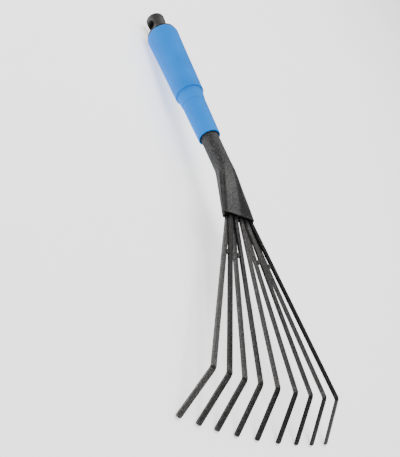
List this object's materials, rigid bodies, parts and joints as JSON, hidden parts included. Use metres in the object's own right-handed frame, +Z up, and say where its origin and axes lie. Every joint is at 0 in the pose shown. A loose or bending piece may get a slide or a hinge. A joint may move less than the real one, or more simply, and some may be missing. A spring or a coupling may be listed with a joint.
{
  "type": "hand rake",
  "caption": "Short hand rake with a fan of bent steel tines in a flared tube neck, a stepped rubber grip sleeve and a hanging cap with a cross hole.",
  "frame": {"origin": "middle of the bounding box at its base, on the surface that the rake lies on", "axes": "+Y runs from the handle to the tine tips, +Z is up, +X is towards tine_1"},
  "size_m": [0.196, 0.4227, 0.046],
  "materials": {
    "powder_coat": "fine-textured black powder coat",
    "grip_rubber": "smooth satin blue",
    "cap_plastic": "fine matte moulded",
    "weld_metal": "weld bead under black powder coat"
  },
  "bodies": {
    "root": {"handle_tube": "powder_coat", "grip_sleeve": "grip_rubber", "hang_cap": "cap_plastic", "root_weld": "weld_metal", "tack_welds": "weld_metal", "tine_1": "powder_coat", "tine_2": "powder_coat", "tine_3": "powder_coat", "tine_4": "powder_coat", "tine_5": "powder_coat", "tine_6": "powder_coat", "tine_7": "powder_coat", "tine_8": "powder_coat", "tine_9": "powder_coat"}
  },
  "joints": []
}
